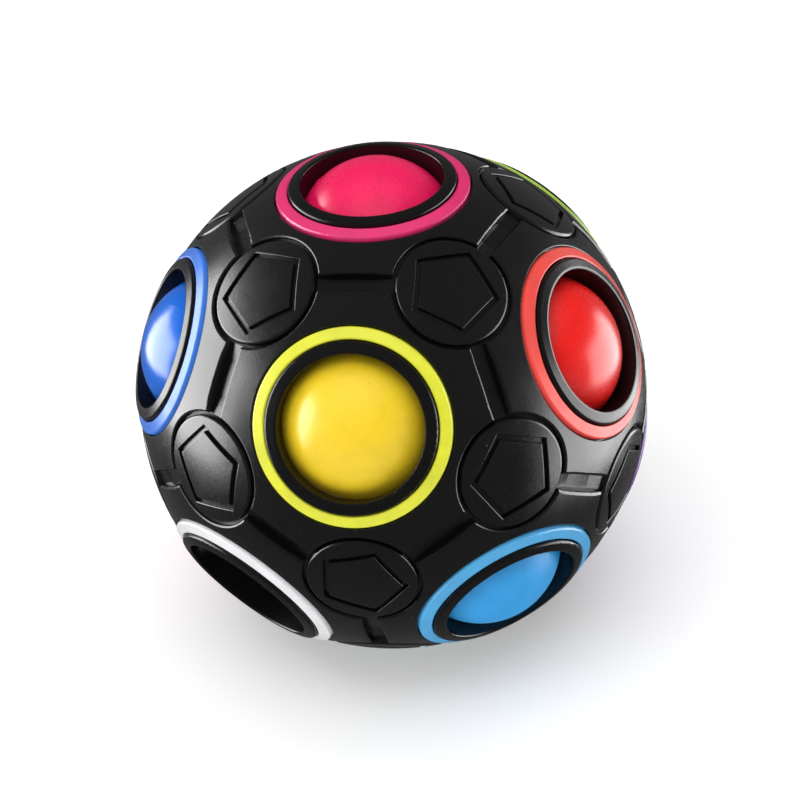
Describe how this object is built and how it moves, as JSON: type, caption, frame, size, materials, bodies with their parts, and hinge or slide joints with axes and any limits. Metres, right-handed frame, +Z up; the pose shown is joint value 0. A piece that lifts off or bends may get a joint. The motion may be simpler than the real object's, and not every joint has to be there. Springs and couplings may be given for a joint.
{
  "type": "sliding ball puzzle",
  "caption": "Handheld ball puzzle: a hollow black ball with coloured window rings, and loose coloured balls inside that press in and roll over a core to an empty window.",
  "frame": {"origin": "middle of the flat rim of the bottom window, which the puzzle stands on", "axes": "+Z up, along the axis of the pink window at the top; -Y towards the yellow window, so the front faces -Y; +X to the right"},
  "size_m": [0.066, 0.0664, 0.0665],
  "materials": {
    "black_plastic": "satin moulded",
    "ring_pink": "satin moulded",
    "ring_yellow": "satin moulded",
    "ring_red": "satin moulded",
    "ring_lime": "satin moulded",
    "ring_orange": "satin moulded",
    "ring_blue": "satin moulded",
    "ring_sky": "satin moulded",
    "ring_purple": "satin moulded",
    "ring_green": "satin moulded",
    "ring_rose": "satin moulded",
    "ring_white": "satin moulded",
    "ring_teal": "satin moulded",
    "ball_pink": "semi-gloss moulded",
    "ball_yellow": "semi-gloss moulded",
    "ball_red": "semi-gloss moulded",
    "ball_lime": "semi-gloss moulded",
    "ball_orange": "semi-gloss moulded",
    "ball_blue": "semi-gloss moulded",
    "ball_sky": "semi-gloss moulded",
    "ball_purple": "semi-gloss moulded",
    "ball_green": "semi-gloss moulded",
    "ball_rose": "semi-gloss moulded",
    "ball_teal": "semi-gloss moulded",
    "core_plastic": "smooth moulded"
  },
  "bodies": {
    "shell": {"shell_half_right": "black_plastic", "shell_half_left": "black_plastic", "window_ring_pink": "ring_pink", "window_ring_yellow": "ring_yellow", "window_ring_red": "ring_red", "window_ring_lime": "ring_lime", "window_ring_orange": "ring_orange", "window_ring_blue": "ring_blue", "window_ring_sky": "ring_sky", "window_ring_purple": "ring_purple", "window_ring_green": "ring_green", "window_ring_rose": "ring_rose", "window_ring_white": "ring_white", "window_ring_teal": "ring_teal", "corner_cap_01": "black_plastic", "corner_cap_02": "black_plastic", "corner_cap_03": "black_plastic", "corner_cap_04": "black_plastic", "corner_cap_05": "black_plastic", "corner_cap_06": "black_plastic", "corner_cap_07": "black_plastic", "corner_cap_08": "black_plastic", "corner_cap_09": "black_plastic", "corner_cap_10": "black_plastic", "corner_cap_11": "black_plastic", "corner_cap_12": "black_plastic", "corner_cap_13": "black_plastic", "corner_cap_14": "black_plastic", "corner_cap_15": "black_plastic", "corner_cap_16": "black_plastic", "corner_cap_17": "black_plastic", "corner_cap_18": "black_plastic", "corner_cap_19": "black_plastic", "corner_cap_20": "black_plastic"},
    "ball_pink": {"ball_pink": "ball_pink"},
    "ball_yellow": {"ball_yellow": "ball_yellow"},
    "ball_red": {"ball_red": "ball_red"},
    "ball_lime": {"ball_lime": "ball_lime"},
    "ball_orange": {"ball_orange": "ball_orange"},
    "ball_blue": {"ball_blue": "ball_blue"},
    "ball_sky": {"ball_sky": "ball_sky"},
    "ball_purple": {"ball_purple": "ball_purple"},
    "ball_green": {"ball_green": "ball_green"},
    "ball_rose": {"ball_rose": "ball_rose"},
    "ball_teal": {"ball_teal": "ball_teal"},
    "core": {"core_ball": "core_plastic"}
  },
  "joints": [
    {"name": "press_pink", "type": "slide", "parent": "shell", "child": "ball_pink", "axis": [0, 0, 1], "range_m": [-0.004, 0]},
    {"name": "press_yellow", "type": "slide", "parent": "shell", "child": "ball_yellow", "axis": [0, -0.8944, 0.4472], "range_m": [-0.004, 0]},
    {"name": "press_red", "type": "slide", "parent": "shell", "child": "ball_red", "axis": [0.8507, -0.2764, 0.4472], "range_m": [-0.004, 0]},
    {"name": "press_lime", "type": "slide", "parent": "shell", "child": "ball_lime", "axis": [0.5257, 0.7236, 0.4472], "range_m": [-0.004, 0]},
    {"name": "press_orange", "type": "slide", "parent": "shell", "child": "ball_orange", "axis": [-0.5257, 0.7236, 0.4472], "range_m": [-0.004, 0]},
    {"name": "press_blue", "type": "slide", "parent": "shell", "child": "ball_blue", "axis": [-0.8507, -0.2764, 0.4472], "range_m": [-0.004, 0]},
    {"name": "press_sky", "type": "slide", "parent": "shell", "child": "ball_sky", "axis": [0.5257, -0.7236, -0.4472], "range_m": [-0.004, 0]},
    {"name": "press_purple", "type": "slide", "parent": "shell", "child": "ball_purple", "axis": [0.8507, 0.2764, -0.4472], "range_m": [-0.004, 0]},
    {"name": "press_green", "type": "slide", "parent": "shell", "child": "ball_green", "axis": [0, 0.8944, -0.4472], "range_m": [-0.004, 0]},
    {"name": "press_rose", "type": "slide", "parent": "shell", "child": "ball_rose", "axis": [-0.8507, 0.2764, -0.4472], "range_m": [-0.004, 0]},
    {"name": "roll_teal", "type": "hinge", "parent": "shell", "child": "ball_teal", "pos_m": [0, 0, 0.03225], "axis": [-0.809, 0.5878, 0], "range_deg": [0, 63.43]},
    {"name": "shift_core", "type": "slide", "parent": "shell", "child": "core", "axis": [0, 0, 1], "range_m": [0, 0.004]}
  ]
}
